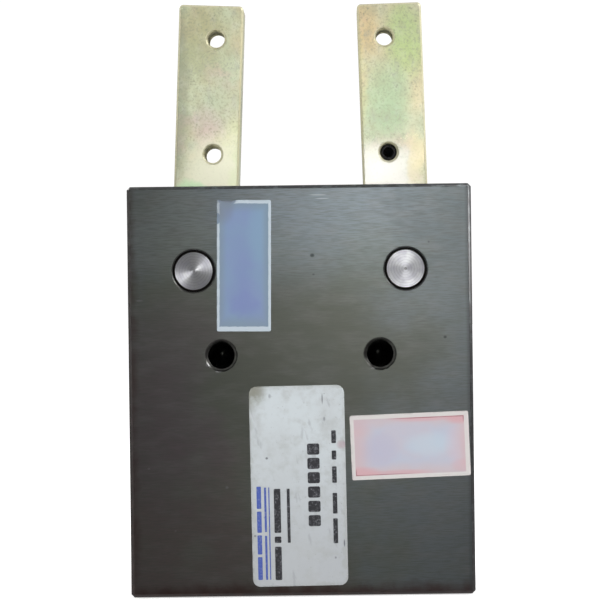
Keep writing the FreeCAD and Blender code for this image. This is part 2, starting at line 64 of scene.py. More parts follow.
# ---- standard threads: (major radius, tap drill radius, pitch) ----
M6, M5, M4 = (3.0, 2.5, 1.0), (2.5, 2.1, 0.8), (2.0, 1.65, 0.7)
G_EIGHTH = (4.864, 4.4, 0.907)

# how far each jaw leans inward in the stored pose, in degrees
JAW_LEAN = {"left": 2.4, "right": 1.4}
# the pivot pins' axes: this far to each side, and this high
PIVOT_X, PIVOT_Z = 20.0, 61.5
# a finger's tapped holes: how far inward of the pivot, and how far above it, along the finger
FINGER_HOLE_OFFSET = 2.1
FINGER_HOLE_HEIGHTS = (45.5, 23.0)

# how far each film is turned on the front face, in degrees anticlockwise
FILM_TURN = {"type_label": 0.6, "blue_sticker": -0.7, "red_sticker": 1.85}
FILM_THICK = 0.11

MOUNTS = {mount["name"]: mount for mount in frame["record"]["mounts"]}
SLOT_OF = {part["node"]: part["material_slot"] for part in frame["record"]["subparts"]}


# ================================ mesh helpers ================================
def millimetres(node):
    """The lowest and highest corners of a CAD node in millimetres."""
    low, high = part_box(node)
    return low / MM, high / MM


def piece(name, mesh, body, material, replaces=()):
    """A mesh in metres becomes a piece that rides on a CAD body."""
    made = bpy.data.objects.new(name, mesh)
    bpy.context.scene.collection.objects.link(made)
    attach(made, body)
    if replaces:
        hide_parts(*replaces)
    mesh.materials.clear()
    mesh.materials.append(material)
    return made


def finish_mesh(bm, name, sharp_angle=30.0):
    """Scale from millimetres to metres, smooth everything but the real edges."""
    bmesh.ops.scale(bm, vec=(MM, MM, MM), verts=bm.verts)
    mesh = bpy.data.meshes.new(name)
    bm.to_mesh(mesh)
    bm.free()
    mesh.shade_smooth()
    mesh.set_sharp_from_angle(angle=math.radians(sharp_angle))
    # a face square to the frame is truly flat
    for face in mesh.polygons:
        if max(abs(n) for n in face.normal) > 0.99999:
            face.use_smooth = False
    return mesh


def turn_to(axis):
    """The rotation that carries +Z onto that axis."""
    return axis.to_track_quat("Z", "Y").to_matrix().to_4x4()


def add_ring(bm, place, radii, height):
    """Vertices round an axis at one height, one for each radius."""
    ring = []
    for i, radius in enumerate(radii):
        angle = 2 * math.pi * i / len(radii)
        at = Vector((radius * math.cos(angle), radius * math.sin(angle), height))
        ring.append(bm.verts.new(place @ at))
    return ring


def revolve(bm, profile, origin, axis, segments):
    """A closed turned solid from (radius, height) points that start and end on the axis."""
    place = Matrix.Translation(origin) @ turn_to(axis)
    rings = []
    for radius, height in profile:
        if radius < 1e-6:
            rings.append([bm.verts.new(place @ Vector((0, 0, height)))])
        else:
            rings.append(add_ring(bm, place, [radius] * segments, height))
    for lower, upper in zip(rings, rings[1:]):
        for i in range(segments):
            j = (i + 1) % segments
            corners = [lower[i % len(lower)], lower[j % len(lower)]]
            corners += [upper[j % len(upper)], upper[i % len(upper)]]
            # a ring of one point on the axis gives its corner twice, and a triangle needs it once
            bm.faces.new(list(dict.fromkeys(corners)))


def thread_radius(turns, major, root, crest=0.18, flank=0.36):
    """Radius of a V thread where 'turns' counts pitches along the helix."""
    phase = abs((turns % 1.0) - 0.5) * 2
    rise = min(1.0, max(0.0, (phase - crest) / (2 * flank)))
    return major + (root - major) * rise


# between its threads a tap stays this far off the drilled wall; its thread runs out over so many pitches
ROOT_CLEARANCE, RUNOUT_PITCHES = 0.05, 1.5


def add_tap(bm, thread, mouth, inward, depth, segments=40, steps=8):
    """A threaded cutter that goes into a hole from its mouth: it leaves a real screw thread."""
    major, drill, pitch = thread
    root = drill - ROOT_CLEARANCE
    place = Matrix.Translation(mouth) @ turn_to(inward)
    rows = int(depth / pitch * steps)
    rings = []
    for row in range(rows + 1):
        height = depth * row / rows
        runout = min(1.0, (depth - height) / (RUNOUT_PITCHES * pitch))
        outer = root + (major - root) * runout
        radii = [thread_radius(height / pitch - i / segments, outer, root) for i in range(segments)]
        rings.append(add_ring(bm, place, radii, height))
    for lower, upper in zip(rings, rings[1:]):
        for i in range(segments):
            j = (i + 1) % segments
            bm.faces.new((lower[i], lower[j], upper[j], upper[i]))
    bm.faces.new(list(reversed(rings[0])))
    bm.faces.new(rings[-1])


def machined(node, cutter_bm, name):
    """A copy of a CAD node's mesh with the cutters taken out of it."""
    solid = bmesh.new()
    solid.from_mesh(nodes[node].data)
    bmesh.ops.remove_doubles(solid, verts=solid.verts, dist=1e-7)
    bmesh.ops.scale(solid, vec=(1 / MM, 1 / MM, 1 / MM), verts=solid.verts)
    pair = []
    for label, bm in (("_solid", solid), ("_cutter", cutter_bm)):
        mesh = bpy.data.meshes.new(name + label)
        bm.to_mesh(mesh)
        bm.free()
        made = bpy.data.objects.new(name + label, mesh)
        bpy.context.scene.collection.objects.link(made)
        pair.append(made)
    cut = pair[0].modifiers.new("cut", "BOOLEAN")
    cut.operation = "DIFFERENCE"
    cut.solver = "MANIFOLD"
    cut.object = pair[1]
    bpy.context.view_layer.update()
    result = bmesh.new()
    result.from_object(pair[0], bpy.context.evaluated_depsgraph_get())
    for made in pair:
        old = made.data
        bpy.data.objects.remove(made)
        bpy.data.meshes.remove(old)
    return finish_mesh(result, name)


# ================================ material helpers ================================
class Surface:
    """A Principled material fed by small node chains that work in millimetres of object space."""

    def __init__(self, name, **values):
        self.material = bpy.data.materials.new(name)
        self.material.use_nodes = True
        self.tree = self.material.node_tree
        self.shader = self.tree.nodes["Principled BSDF"]
        for socket, value in values.items():
            self.shader.inputs[socket.replace("_", " ")].default_value = value

    def add(self, kind, inputs=(), **settings):
        made = self.tree.nodes.new("ShaderNode" + kind)
        for setting, value in settings.items():
            setattr(made, setting, value)
        for socket, value in dict(inputs).items():
            self.feed(made.inputs[socket], value)
        return made

    def feed(self, socket, value):
        if isinstance(value, bpy.types.NodeSocket):
            self.tree.links.new(value, socket)
        else:
            socket.default_value = value

    def set(self, **sockets):
        for socket, value in sockets.items():
            self.feed(self.shader.inputs[socket.replace("_", " ")], value)

    def place(self, stretch=(1, 1, 1), turn=(0, 0, 0)):
        """Object coordinates in millimetres, squeezed by stretch and turned in degrees."""
        at = self.add("TexCoord").outputs["Object"]
        turned = self.add("Mapping", {"Vector": at, "Rotation": [math.radians(a) for a in turn]})
        scale = [s / MM for s in stretch]
        return self.add("Mapping", {"Vector": turned.outputs[0], "Scale": scale}).outputs[0]

    def noise(self, per_mm, stretch=(1, 1, 1), detail=3.0, rough=0.55, turn=(0, 0, 0), shift=0.0):
        at = self.place(stretch, turn)
        moved = self.add("VectorMath", {0: at, 1: (shift, shift * 0.7, -shift)}, operation="ADD").outputs[0]
        return self.add("TexNoise", {"Vector": moved, "Scale": per_mm, "Detail": detail,
                                     "Roughness": rough}).outputs["Fac"]

    def level(self, value, low, high, to_low=0.0, to_high=1.0):
        return self.add("MapRange", {"Value": value, "From Min": low, "From Max": high, "To Min": to_low,
                                     "To Max": to_high}, interpolation_type="SMOOTHSTEP").outputs["Result"]

    def maths(self, operation, a, b=0.0):
        return self.add("Math", {0: a, 1: b}, operation=operation).outputs[0]

    def mix(self, factor, a, b, blend="MIX"):
        made = self.add("Mix", data_type="RGBA", blend_type=blend)
        self.feed(made.inputs["Factor"], factor)
        for socket, value in ((made.inputs[6], a), (made.inputs[7], b)):
            self.feed(socket, value if isinstance(value, bpy.types.NodeSocket) else (*value, 1.0))
        return made.outputs[2]

    def axis(self, vector, name):
        return self.add("SeparateXYZ", {0: vector}).outputs[name]

    def spot(self, u, v, at_u, at_v, reach_u, reach_v):
        """1 at a place in two coordinates, fading to 0 at its reach in each."""
        du = self.maths("DIVIDE", self.maths("SUBTRACT", u, at_u), reach_u)
        dv = self.maths("DIVIDE", self.maths("SUBTRACT", v, at_v), reach_v)
        squares = self.maths("ADD", self.maths("MULTIPLY", du, du), self.maths("MULTIPLY", dv, dv))
        return self.level(squares, 1.0, 0.0)

    def tinted(self, colour, u, v, tints):
        """The colour with soft tints laid over it: (u, v, reach u, reach v, depth, tint)."""
        for at_u, at_v, reach_u, reach_v, depth, tint in tints:
            share = self.maths("MULTIPLY", self.spot(u, v, at_u, at_v, reach_u, reach_v), depth)
            colour = self.mix(share, colour, tint)
        return colour

    def bump(self, height, distance_mm, strength=1.0, onto=None):
        made = self.add("Bump", {"Height": height, "Distance": distance_mm * MM, "Strength": strength})
        if onto is not None:
            self.feed(made.inputs["Normal"], onto)
        return made.outputs[0]

    def rounded(self, radius_mm):
        """Normals that round the edges off a little."""
        return self.add("Bevel", {"Radius": radius_mm * MM}, samples=4).outputs[0]

    def edge_mask(self):
        """1 on faces that lean between the main directions, such as chamfers and broken edges."""
        normal = self.add("TexCoord").outputs["Normal"]
        sizes = self.add("VectorMath", {0: normal}, operation="ABSOLUTE").outputs[0]
        largest = self.maths("MAXIMUM", self.axis(sizes, "X"), self.axis(sizes, "Y"))
        largest = self.maths("MAXIMUM", largest, self.axis(sizes, "Z"))
        return self.level(largest, 0.995, 0.9)


# ================================ materials ================================
# marks on the front face, and painted glints at the M6 mouths: (x, z, reach x, reach z, depth, colour)
FRONT_MARKS_AND_GLINTS = (
    (2.4, 64.2, 0.55, 0.45, 0.7, (0.03, 0.04, 0.035)),
    (2.6, 60.6, 0.30, 0.25, 0.4, (0.05, 0.06, 0.05)),
    (27.3, 48.5, 0.40, 0.35, 0.6, (0.04, 0.04, 0.04)),
    (24.4, 66.5, 0.25, 0.25, 0.4, (0.05, 0.05, 0.05)),
    (3.6, 75.6, 2.0, 0.16, 0.5, (0.62, 0.66, 0.70)),
    (4.4, 74.9, 1.6, 0.13, 0.5, (0.62, 0.66, 0.70)),
    (-14.2, 20.6, 0.40, 0.35, 0.35, (0.42, 0.44, 0.44)),
    (-30.3, 56.0, 0.9, 0.14, 0.5, (0.45, 0.45, 0.44)),
    (-28.9, 24.3, 0.35, 0.30, 0.3, (0.40, 0.40, 0.40)),
    (-24.0, 12.5, 0.30, 0.30, 0.3, (0.38, 0.36, 0.35)),
    # painted glints on the lower left of the two M6 mouths
    (-15.5, 42.5, 0.75, 0.26, 0.75, (0.62, 0.62, 0.62)),
    (-17.5, 43.8, 0.55, 0.55, 0.45, (0.48, 0.48, 0.49)),
    (13.7, 42.8, 0.65, 0.24, 0.6, (0.55, 0.55, 0.55)),
)
# broad tints in the oxide; the first two paint light, a painted shade over the middle and a painted bluish
# highlight across the top: (x, z, reach x, reach z, depth, colour)
OXIDE_TINTS_AND_PAINTED_LIGHT = (
    (0.0, 44.0, 30.0, 24.0, 0.85, (0.165, 0.172, 0.145)),
    (0.0, 82.0, 36.0, 26.0, 0.80, (0.300, 0.350, 0.385)),
    (-26.0, 36.0, 15.0, 26.0, 0.60, (0.200, 0.160, 0.185)),
    (27.0, 20.0, 14.0, 24.0, 0.55, (0.240, 0.265, 0.285)),
    (-26.0, 70.0, 12.0, 12.0, 0.50, (0.370, 0.410, 0.400)),
    (26.0, 70.0, 12.0, 12.0, 0.40, (0.175, 0.210, 0.225)),
)


def ground_dark_metal():
    """Dark ground block: fine level grain, oxide that shifts from brown through olive to blue-grey, and
    painted light: lighter and bluer towards the top and the upper right, painted shade towards the lower
    left, down the left edge and on the chamfers, and painted glints at the M6 mouths.
    """
    s = Surface("ground_dark_metal", Metallic=1.0, Anisotropic=0.4)
    at = s.place()
    x, z = s.axis(at, "X"), s.axis(at, "Z")
    up_share = s.maths("ABSOLUTE", s.axis(s.add("TexCoord").outputs["Normal"], "Z"))
    facing_up = s.level(up_share, 0.6, 0.9)
    across_grain = s.add("Mix", {0: facing_up, 4: (0, 0, 1), 5: (0, 1, 0)}, data_type="VECTOR").outputs[1]
    s.set(Tangent=across_grain)
    grain_side = s.noise(1.0, (0.45, 0.45, 7.0), 2.5, 0.58)
    grain_top = s.noise(1.0, (0.45, 7.0, 0.45), 2.5, 0.58)
    grain = s.add("Mix", {0: facing_up, 2: grain_side, 3: grain_top}).outputs[0]
    long_lines = s.noise(1.0, (0.05, 0.05, 3.0), 3.0, shift=3.0)
    patches = s.noise(0.07, detail=4.0, shift=11.0)
    drift = s.level(patches, 0.3, 0.7, -12.0, 12.0)
    # painted light: the block turns lighter and bluer towards the top and the right, and browner and darker
    # towards the lower left, a brown tint with painted shade
    lit_cool_share = s.maths("MAXIMUM", s.level(s.maths("ADD", x, drift), -6.0, 30.0),
                   s.level(s.maths("ADD", z, drift), 48.0, 80.0))
    shaded_warm_share = s.maths("MULTIPLY", s.level(s.maths("ADD", x, drift), 22.0, -32.0),
                   s.level(s.maths("ADD", z, drift), 62.0, 2.0))
    colour = s.mix(lit_cool_share, (0.225, 0.250, 0.210), (0.245, 0.275, 0.283))
    colour = s.mix(s.maths("MULTIPLY", shaded_warm_share, 0.9), colour, (0.225, 0.185, 0.180))
    cloud = s.noise(0.35, (0.5, 0.5, 1.4), 5.0, shift=23.0)
    # oxide tints, with a painted shade over the middle and a painted highlight across the top
    colour = s.tinted(colour, s.maths("ADD", x, s.maths("MULTIPLY", drift, 0.4)), z, OXIDE_TINTS_AND_PAINTED_LIGHT)
    colour = s.mix(s.level(cloud, 0.4, 0.72, 0.0, 0.30), colour, (0.30, 0.30, 0.29))
    colour = s.mix(s.level(grain, 0.36, 0.70, 0.0, 0.42), colour, (0.15, 0.16, 0.14))
    colour = s.mix(s.level(long_lines, 0.55, 0.75, 0.0, 0.10), colour, (0.14, 0.15, 0.13))
    ragged = s.level(s.noise(0.3, detail=3.0, shift=5.0), 0.3, 0.7, -0.5, 0.5)
    foot = s.level(s.maths("ADD", z, ragged), 3.4, 0.2, 0.0, 0.8)
    left_edge_shade = s.level(s.maths("ADD", x, ragged), -30.2, -32.4, 0.0, 0.5)
    # painted shade down the left edge, and a darker red-brown strip along the foot
    colour = s.mix(s.maths("MAXIMUM", foot, left_edge_shade), colour, (0.105, 0.055, 0.050))
    right_edge = s.level(x, 31.0, 31.8, 0.0, 0.45)
    colour = s.mix(right_edge, colour, (0.13, 0.13, 0.135))
    # painted shade: chamfers, hole mouths and broken edges darkened in patches
    edge_shade_patches = s.level(s.noise(0.8, detail=3.0, shift=47.0), 0.45, 0.7, 0.75, 0.3)
    colour = s.mix(s.maths("MULTIPLY", s.edge_mask(), edge_shade_patches), colour, (0.075, 0.070, 0.070))
    facing_front = s.level(s.axis(at, "Y"), -24.6, -24.9)
    # marks and painted glints, on the front face only
    for at_x, at_z, reach_x, reach_z, depth, mark in FRONT_MARKS_AND_GLINTS:
        shown = s.maths("MULTIPLY", s.spot(x, z, at_x, at_z, reach_x, reach_z), facing_front)
        colour = s.mix(s.maths("MULTIPLY", shown, depth), colour, mark)
    s.set(Base_Color=colour)
    s.set(Roughness=s.level(grain, 0.25, 0.75, 0.285, 0.315))
    s.set(Normal=s.bump(grain, 0.0004, onto=s.rounded(0.25)))
    return s.material


# tints in the plating of the fingers, and a painted shade down the left finger's left edge: (x, z, reach x,
# reach z, depth, colour)
ZINC_TINTS_AND_EDGE_SHADE = (
    (-19.0, 107.0, 7.0, 10.0, 0.75, (0.50, 0.51, 0.29)),
    (-15.0, 94.0, 6.0, 7.0, 0.55, (0.58, 0.66, 0.48)),
    (-18.5, 90.0, 4.0, 5.0, 0.55, (0.70, 0.55, 0.52)),
    # painted shade down the left finger's left edge
    (-24.4, 98.0, 3.8, 27.0, 0.62, (0.26, 0.28, 0.20)),
    (-12.8, 86.5, 2.6, 7.0, 0.55, (0.76, 0.86, 0.44)),
    (12.0, 108.5, 5.0, 7.0, 0.65, (0.80, 0.58, 0.30)),
    (21.0, 106.5, 5.5, 10.0, 0.75, (0.48, 0.65, 0.27)),
    (17.0, 94.5, 6.0, 10.0, 0.85, (0.46, 0.61, 0.38)),
    (12.0, 97.0, 1.6, 14.0, 0.45, (0.82, 0.74, 0.36)),
)
# a painted highlight: glare that washes both fingers pale near the body, where hardly any mottle shows
ZINC_PAINTED_GLARE = (
    (-15.5, 78.5, 10.0, 12.0, 1.00, (1.00, 0.99, 0.76)),
    (-20.8, 78.2, 3.6, 2.4, 0.50, (0.50, 0.98, 0.50)),
    (-11.8, 81.0, 2.0, 6.0, 0.40, (0.86, 0.98, 0.56)),
    (16.0, 79.5, 9.5, 9.5, 0.95, (1.00, 0.98, 0.90)),
    (23.0, 84.0, 2.4, 7.0, 0.60, (0.92, 0.80, 0.50)),
)


def yellow_zinc():
    """Yellow-passivated zinc drawn lengthwise: shifting olive, green, pink and straw, with a painted pale
    glare near the body and a painted shade down the left finger's left edge.
    """
    s = Surface("yellow_zinc", Metallic=0.38, Anisotropic=0.6)
    s.set(Tangent=s.add("CombineXYZ", {"X": 1.0}).outputs[0])
    at = s.place()
    x, z = s.axis(at, "X"), s.axis(at, "Z")
    wide = s.noise(0.12, detail=3.0, shift=4.0)
    mottle = s.noise(2.1, detail=4.0, rough=0.65, shift=8.0)
    scale = s.noise(0.7, (1.0, 1.0, 0.7), 4.0, 0.6, shift=52.0)
    colour = s.mix(s.level(wide, 0.36, 0.62), (0.71, 0.64, 0.41), (0.66, 0.71, 0.49))
    pink = s.level(s.noise(0.22, detail=4.0, shift=31.0), 0.50, 0.66, 0.0, 0.6)
    colour = s.mix(pink, colour, (0.74, 0.58, 0.50))
    cloudy = s.level(s.noise(0.22, detail=3.0, shift=77.0), 0.3, 0.7, -1.0, 1.0)
    colour = s.tinted(colour, s.maths("ADD", x, s.maths("MULTIPLY", cloudy, 0.35)), z, ZINC_TINTS_AND_EDGE_SHADE)
    colour = s.mix(s.level(scale, 0.50, 0.66, 0.0, 0.14), colour, (0.86, 0.85, 0.70))
    colour = s.mix(s.level(scale, 0.50, 0.34, 0.0, 0.28), colour, (0.42, 0.42, 0.28))
    colour = s.mix(s.level(mottle, 0.52, 0.36, 0.0, 0.44), colour, (0.33, 0.35, 0.24))
    grey = s.level(s.noise(0.5, (1.0, 1.0, 0.6), 5.0, 0.7, shift=61.0), 0.52, 0.72, 0.0, 0.4)
    colour = s.mix(grey, colour, (0.46, 0.47, 0.40))
    dots = s.add("TexVoronoi", {"Vector": at, "Scale": 1.1, "Randomness": 1.0}).outputs["Distance"]
    where = s.level(s.noise(0.22, detail=3.0, shift=17.0), 0.50, 0.62, 0.0, 0.6)
    specks = s.maths("MULTIPLY", s.level(dots, 0.30, 0.10), where)
    colour = s.mix(specks, colour, (0.30, 0.30, 0.20))
    # painted highlight: the fingers washed pale next to the body
    colour = s.tinted(colour, s.maths("ADD", x, cloudy), s.maths("ADD", z, cloudy), ZINC_PAINTED_GLARE)
    colour = s.mix(s.level(mottle, 0.48, 0.34, 0.0, 0.10), colour, (0.45, 0.45, 0.33))
    edge = s.maths("MULTIPLY", s.edge_mask(), s.level(mottle, 0.3, 0.6, 0.4, 0.9))
    colour = s.mix(edge, colour, (0.80, 0.76, 0.52))
    s.set(Base_Color=colour)
    s.set(Roughness=s.level(wide, 0.3, 0.7, 0.24, 0.28))
    s.set(Normal=s.bump(mottle, 0.0003, onto=s.rounded(0.3)))
    return s.material


def ground_rod_steel():
    """Bright steel ground round Z, so its grain is finest along Z."""
    s = Surface("ground_rod_steel", Metallic=1.0)
    lay = s.noise(1.0, (1, 1, 6), 4.0, 0.6)
    s.set(Base_Color=s.mix(s.level(lay, 0.35, 0.7), (0.62, 0.62, 0.63), (0.446, 0.446, 0.454)))
    s.set(Roughness=s.level(lay, 0.3, 0.7, 0.187, 0.275))
    s.set(Normal=s.bump(lay, 0.002, onto=s.rounded(0.08)))
    return s.material


# the rings on the pins' ends are this far apart
TURNING_PITCH = 0.52


def turned_face_steel():
    """Bright pin: faces turned in fine rings that spread light into a spoke across the end."""
    s = Surface("turned_face_steel", Metallic=1.0, Anisotropic=0.96, Anisotropic_Rotation=0.25)
    s.set(Tangent=s.add("Tangent", direction_type="RADIAL", axis="Y").outputs[0])
    at = s.place()
    from_axis = s.maths("SUBTRACT", s.maths("ABSOLUTE", s.axis(at, "X")), PIVOT_X)
    above = s.maths("SUBTRACT", s.axis(at, "Z"), PIVOT_Z)
    radius = s.maths("SQRT", s.maths("ADD", s.maths("MULTIPLY", from_axis, from_axis),
                                     s.maths("MULTIPLY", above, above)))
    wobble = s.level(s.noise(0.8, detail=2.0, shift=6.0), 0.3, 0.7, -0.06, 0.06)
    uneven = s.maths("ADD", radius, wobble)
    rings = s.maths("SINE", s.maths("MULTIPLY", uneven, 2 * math.pi / TURNING_PITCH))
    cloud = s.noise(0.55, detail=4.0, shift=2.0)
    colour = s.mix(s.level(cloud, 0.35, 0.65), (0.93, 0.94, 0.96), (0.76, 0.76, 0.82))
    colour = s.mix(s.level(rings, 0.0, 1.0, 0.0, 0.25), colour, (0.48, 0.47, 0.50))
    # painted shade: the chamfer round each end darkened nearly black
    s.set(Base_Color=s.mix(s.edge_mask(), colour, (0.12, 0.11, 0.105)))
    s.set(Roughness=s.level(cloud, 0.3, 0.7, 0.28, 0.34))
    s.set(Normal=s.bump(rings, 0.0006))
    return s.material


def bronze():
    """Sintered bronze with dark open pores."""
    s = Surface("sintered_bronze", Metallic=1.0, Roughness=0.4)
    pores = s.noise(6.0, detail=3.0)
    s.set(Base_Color=s.mix(s.level(pores, 0.5, 0.7), (0.58, 0.37, 0.18), (0.26, 0.15, 0.07)))
    s.set(Normal=s.bump(pores, 0.01))
    return s.material


def black_oxide():
    """Blackened steel, patchy, and smoother where handling has polished its edges."""
    s = Surface("black_oxide", Metallic=0.9)
    patches = s.noise(0.7, detail=4.0)
    s.set(Base_Color=s.mix(s.level(patches, 0.35, 0.7), (0.045, 0.047, 0.055), (0.09, 0.08, 0.075)))
    edge = s.maths("MULTIPLY", s.edge_mask(), s.level(patches, 0.3, 0.6, 0.1, 0.7))
    s.set(Roughness=s.level(edge, 0.0, 1.0, 0.38, 0.24))
    s.set(Normal=s.bump(s.noise(5.0, detail=2.0), 0.004, onto=s.rounded(0.1)))
    return s.material


def turned_aluminium():
    """Bare aluminium turned about Z in fine rings, with a few dull blotches."""
    s = Surface("turned_aluminium", Metallic=1.0, Anisotropic=0.5)
    s.set(Tangent=s.add("Tangent", direction_type="RADIAL", axis="Z").outputs[0])
    at = s.place()
    rings = s.add("TexWave", {"Vector": at, "Scale": 0.9, "Distortion": 0.15, "Detail": 2.0},
                  wave_type="RINGS", rings_direction="Z").outputs["Fac"]
    blotch = s.noise(0.12, detail=5.0)
    colour = s.mix(s.level(blotch, 0.35, 0.7), (0.66, 0.67, 0.68), (0.48, 0.48, 0.48))
    s.set(Base_Color=s.mix(s.maths("MULTIPLY", rings, 0.18), colour, (0.3, 0.3, 0.3)))
    s.set(Roughness=s.level(blotch, 0.3, 0.7, 0.28, 0.42))
    s.set(Normal=s.bump(rings, 0.006, onto=s.rounded(0.15)))
    return s.material


def soft(name, colour, roughness):
    """Rubber, urethane or plastic: a slight mottle and a faint skin texture."""
    s = Surface(name)
    mottle = s.noise(1.5, detail=4.0)
    lighter = [min(1.0, c * 1.35 + 0.01) for c in colour]
    s.set(Base_Color=s.mix(s.level(mottle, 0.35, 0.7), colour, lighter))
    s.set(Roughness=s.level(mottle, 0.3, 0.7, roughness * 0.9, min(1.0, roughness * 1.15)))
    s.set(Normal=s.bump(s.noise(8.0, detail=2.0), 0.006))
    return s.material


def ink(name, colour):
    """Printing ink that has rubbed thin in places."""
    s = Surface(name, Roughness=0.42)
    wear = s.noise(2.4, detail=5.0, rough=0.7)
    s.set(Base_Color=s.mix(s.level(wear, 0.50, 0.72, 0.0, 0.55), colour, (0.30, 0.31, 0.34)))
    return s.material


class FilmSurface(Surface):
    """A printed film with millimetre coordinates across it, measured from its lower left corner."""

    def __init__(self, name, size):
        super().__init__(name)
        uv = self.add("UVMap", uv_map="film").outputs[0]
        self.width, self.height = size
        self.across = self.maths("MULTIPLY", self.axis(uv, "X"), self.width)
        self.up = self.maths("MULTIPLY", self.axis(uv, "Y"), self.height)

    def from_edges(self, left=1.0, right=1.0, bottom=1.0, top=1.0):
        """Distance from the nearest edge, each edge's distance divided by its own width."""
        to_right = self.maths("SUBTRACT", self.width, self.across)
        to_top = self.maths("SUBTRACT", self.height, self.up)
        distances = ((self.across, left), (to_right, right), (self.up, bottom), (to_top, top))
        shares = [self.maths("DIVIDE", distance, width) for distance, width in distances]
        sides = self.maths("MINIMUM", shares[0], shares[1])
        ends = self.maths("MINIMUM", shares[2], shares[3])
        return self.maths("MINIMUM", sides, ends)

    def blot(self, across, up, reach_across, reach_up):
        """1 at a place on the film, fading to 0 at that reach."""
        return self.spot(self.across, self.up, across, up, reach_across, reach_up)


# dark scratches and specks on the label: (across, up, reach across, reach up, depth), in millimetres
LABEL_MARKS = (
    (3.1, 24.2, 0.32, 0.30, 0.9),
    (13.8, 35.2, 0.16, 1.3, 0.8),
    (14.1, 31.4, 0.30, 0.55, 0.55),
    (3.9, 35.9, 0.35, 0.55, 0.45),
    (17.4, 7.9, 0.20, 0.9, 0.85),
    (15.7, 5.2, 0.25, 0.3, 0.6),
    (0.6, 9.6, 0.3, 0.25, 0.7),
)


def label_film(size):
    """White label: grey handling dirt, darker towards its foot and its edges, scuffs and specks."""
    s = FilmSurface("scuffed_white_film", size)
    dirt = s.noise(0.3, detail=7.0, rough=0.68, shift=7.0)
    colour = s.mix(s.level(s.up, 34.0, 2.0), (0.498, 0.541, 0.562), (0.395, 0.415, 0.435))
    colour = s.mix(s.level(dirt, 0.44, 0.70, 0.0, 0.55), colour, (0.34, 0.35, 0.345))
    cloud = s.noise(0.11, detail=3.0, shift=71.0)
    colour = s.mix(s.level(cloud, 0.42, 0.66, 0.0, 0.4), colour, (0.42, 0.44, 0.45))
    ragged_edge = s.maths("ADD", s.from_edges(), s.level(dirt, 0.3, 0.7, -1.0, 1.0))
    rim = s.level(ragged_edge, 0.9, -0.1, 0.0, 0.45)
    colour = s.mix(rim, colour, (0.32, 0.33, 0.31))
    specks = s.level(s.noise(2.4, detail=2.0, shift=40.0), 0.66, 0.74, 0.0, 0.6)
    colour = s.mix(specks, colour, (0.22, 0.22, 0.23))
    streaks = s.noise(0.9, (0.9, 1.0, 0.22), 4.0, turn=(0, 14, 0), shift=19.0)
    colour = s.mix(s.level(streaks, 0.60, 0.70, 0.0, 0.5), colour, (0.28, 0.29, 0.31))
    corner_grime = s.maths("MULTIPLY", s.blot(0.2, 37.6, 3.6, 5.5), s.level(dirt, 0.35, 0.6, 0.2, 0.9))
    colour = s.mix(corner_grime, colour, (0.20, 0.20, 0.16))
    for across, up, reach_across, reach_up, depth in LABEL_MARKS:
        mark = s.maths("MULTIPLY", s.blot(across, up, reach_across, reach_up), depth)
        colour = s.mix(mark, colour, (0.10, 0.10, 0.12))
    red_stain = s.maths("MULTIPLY", s.blot(17.3, 26.5, 1.2, 1.0), 0.45)
    colour = s.mix(red_stain, colour, (0.38, 0.22, 0.27))
    s.set(Base_Color=colour)
    s.set(Roughness=s.level(dirt, 0.35, 0.7, 0.36, 0.6))
    s.set(Normal=s.bump(dirt, 0.01))
    return s.material


# violet patches on the blue sticker: (across, up, reach across, reach up, depth)
VIOLETS = ((5.4, 5.2, 3.0, 3.8, 0.34), (4.8, 13.0, 3.0, 7.0, 0.12), (5.0, 7.5, 3.4, 6.5, 0.16))


def blue_film(size):
    """Faded blue sticker: pale margin, smoky blue field that turns violet in places."""
    s = FilmSurface("faded_blue_film", size)
    smoke = s.noise(0.16, detail=3.0, shift=12.0)
    field = s.mix(s.level(smoke, 0.35, 0.65), (0.165, 0.245, 0.375), (0.170, 0.232, 0.385))
    drift = s.level(s.noise(0.3, detail=2.0, shift=91.0), 0.3, 0.7, -0.7, 0.7)
    moved = s.maths("ADD", s.across, drift), s.maths("ADD", s.up, drift)
    field = s.tinted(field, *moved, [(*violet, (0.140, 0.160, 0.385)) for violet in VIOLETS])
    field = s.mix(s.maths("MULTIPLY", s.blot(8.4, 19.0, 3.4, 8.5), 0.55), field, (0.175, 0.295, 0.395))
    frame_line = s.from_edges(0.5, 0.5, 0.9, 0.65)
    shade = s.level(frame_line, 4.2, 1.0, 0.0, 0.75)
    field = s.mix(shade, field, (0.165, 0.225, 0.275))
    ragged = s.level(s.noise(0.9, detail=3.0, shift=27.0), 0.3, 0.7, -0.06, 0.06)
    margin = s.level(s.maths("ADD", frame_line, ragged), 1.06, 0.94)
    gone = s.maths("MAXIMUM", s.blot(1.9, 24.8, 2.1, 1.3), s.blot(0.1, 21.3, 0.7, 1.3))
    gone = s.level(gone, 0.1, 0.5)
    margin = s.maths("MULTIPLY", margin, s.maths("SUBTRACT", 1.0, gone))
    colour = s.mix(margin, field, (0.41, 0.475, 0.53))
    smear = s.maths("MAXIMUM", s.maths("MULTIPLY", s.blot(1.9, 24.9, 2.4, 1.1), 0.85),
                    s.maths("MULTIPLY", s.blot(1.2, 23.6, 2.6, 4.0), 0.5))
    colour = s.mix(smear, colour, (0.15, 0.165, 0.20))
    s.set(Base_Color=colour)
    s.set(Roughness=s.level(smoke, 0.3, 0.7, 0.34, 0.5))
    s.set(Normal=s.bump(smoke, 0.02))
    return s.material


# pink patches on the red sticker: (across, up, reach across, reach up, depth)
PINKS = (
    (20.8, 11.0, 3.6, 1.5, 0.70),
    (20.9, 2.0, 2.6, 1.6, 0.30),
    (1.6, 1.2, 4.6, 1.6, 0.65),
    (1.6, 10.0, 2.8, 2.4, 0.20),
    (14.0, 11.4, 8.0, 1.1, 0.60),
    (9.0, 1.0, 8.0, 0.8, 0.50),
    (1.0, 5.5, 2.6, 6.0, 0.15),
    (21.8, 6.0, 1.6, 5.0, 0.15),
)


